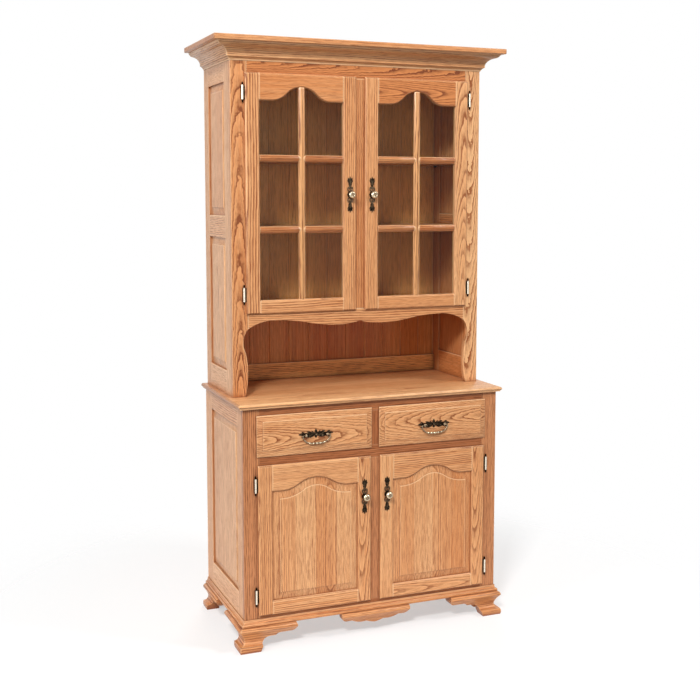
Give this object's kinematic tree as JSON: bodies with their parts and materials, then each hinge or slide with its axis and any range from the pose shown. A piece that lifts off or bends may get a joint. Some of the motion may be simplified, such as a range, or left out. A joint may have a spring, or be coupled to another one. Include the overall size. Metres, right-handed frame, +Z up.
{
  "type": "dresser with hutch",
  "caption": "Oak china cabinet: a base with drawers over arched panel doors, bracket feet, and a hutch with arched glazed doors above an open display niche.",
  "frame": {"origin": "on the floor, at the middle of the bounding box's bottom", "axes": "+Z up, +Y towards the wall behind, +X to the right of someone facing the doors"},
  "size_m": [1.068, 0.5048, 2.03],
  "materials": {
    "oak": "satin honey oak",
    "plywood": "matt plywood",
    "glass": "clear",
    "brass": "antique brass"
  },
  "bodies": {
    "cabinet": {"countertop": "oak", "base_face_frame": "oak", "base_left_side_frame": "oak", "base_right_side_frame": "oak", "base_left_side_panel": "oak", "base_right_side_panel": "oak", "base_back_panel": "plywood", "base_floor": "oak", "base_shelf": "oak", "drawer_runners": "oak", "base_moulding": "oak", "front_left_foot": "oak", "front_right_foot": "oak", "rear_left_foot": "oak", "rear_right_foot": "oak", "centre_drop": "oak", "hutch_face_frame": "oak", "hutch_apron": "oak", "hutch_left_side_frame": "oak", "hutch_right_side_frame": "oak", "hutch_left_side_panels": "oak", "hutch_right_side_panels": "oak", "hutch_back_panel": "oak", "hutch_back_rail": "oak", "hutch_deck": "oak", "hutch_shelves": "oak", "shelf_pins": "brass", "hutch_top": "oak", "crown_moulding": "oak", "hinge_frame_leaves": "brass", "hinge_pins": "brass"},
    "upper_left_door": {"upper_left_door_frame": "oak", "upper_left_muntins": "oak", "upper_left_glass": "glass", "upper_left_knob": "brass", "upper_left_hinge_leaves": "brass"},
    "lower_left_door": {"lower_left_door_frame": "oak", "lower_left_door_panel": "oak", "lower_left_knob": "brass", "lower_left_hinge_leaves": "brass"},
    "left_drawer": {"left_drawer_front": "oak", "left_drawer_box": "oak", "left_drawer_bottom": "plywood", "left_drawer_pull_plate": "brass"},
    "left_drawer_pull": {"left_drawer_bail": "brass"},
    "upper_right_door": {"upper_right_door_frame": "oak", "upper_right_muntins": "oak", "upper_right_glass": "glass", "upper_right_knob": "brass", "upper_right_hinge_leaves": "brass"},
    "lower_right_door": {"lower_right_door_frame": "oak", "lower_right_door_panel": "oak", "lower_right_knob": "brass", "lower_right_hinge_leaves": "brass"},
    "right_drawer": {"right_drawer_front": "oak", "right_drawer_box": "oak", "right_drawer_bottom": "plywood", "right_drawer_pull_plate": "brass"},
    "right_drawer_pull": {"right_drawer_bail": "brass"}
  },
  "joints": [
    {"name": "upper_left_door_hinge", "type": "hinge", "parent": "cabinet", "child": "upper_left_door", "pos_m": [-0.422, -0.0846, 1.5165], "axis": [0, 0, -1], "range_deg": [0, 160]},
    {"name": "lower_left_door_hinge", "type": "hinge", "parent": "cabinet", "child": "lower_left_door", "pos_m": [-0.429, -0.2196, 0.37175], "axis": [0, 0, -1], "range_deg": [0, 160]},
    {"name": "left_drawer_slide", "type": "slide", "parent": "cabinet", "child": "left_drawer", "axis": [0, -1, 0], "range_m": [0, 0.3]},
    {"name": "left_drawer_bail_hinge", "type": "hinge", "parent": "left_drawer", "child": "left_drawer_pull", "pos_m": [-0.219, -0.2329, 0.71825], "axis": [-1, 0, 0], "range_deg": [0, 85]},
    {"name": "upper_right_door_hinge", "type": "hinge", "parent": "cabinet", "child": "upper_right_door", "pos_m": [0.422, -0.0846, 1.5165], "axis": [0, 0, 1], "range_deg": [0, 160]},
    {"name": "lower_right_door_hinge", "type": "hinge", "parent": "cabinet", "child": "lower_right_door", "pos_m": [0.429, -0.2196, 0.37175], "axis": [0, 0, 1], "range_deg": [0, 160]},
    {"name": "right_drawer_slide", "type": "slide", "parent": "cabinet", "child": "right_drawer", "axis": [0, -1, 0], "range_m": [0, 0.3]},
    {"name": "right_drawer_bail_hinge", "type": "hinge", "parent": "right_drawer", "child": "right_drawer_pull", "pos_m": [0.219, -0.2329, 0.71825], "axis": [-1, 0, 0], "range_deg": [0, 85]}
  ]
}
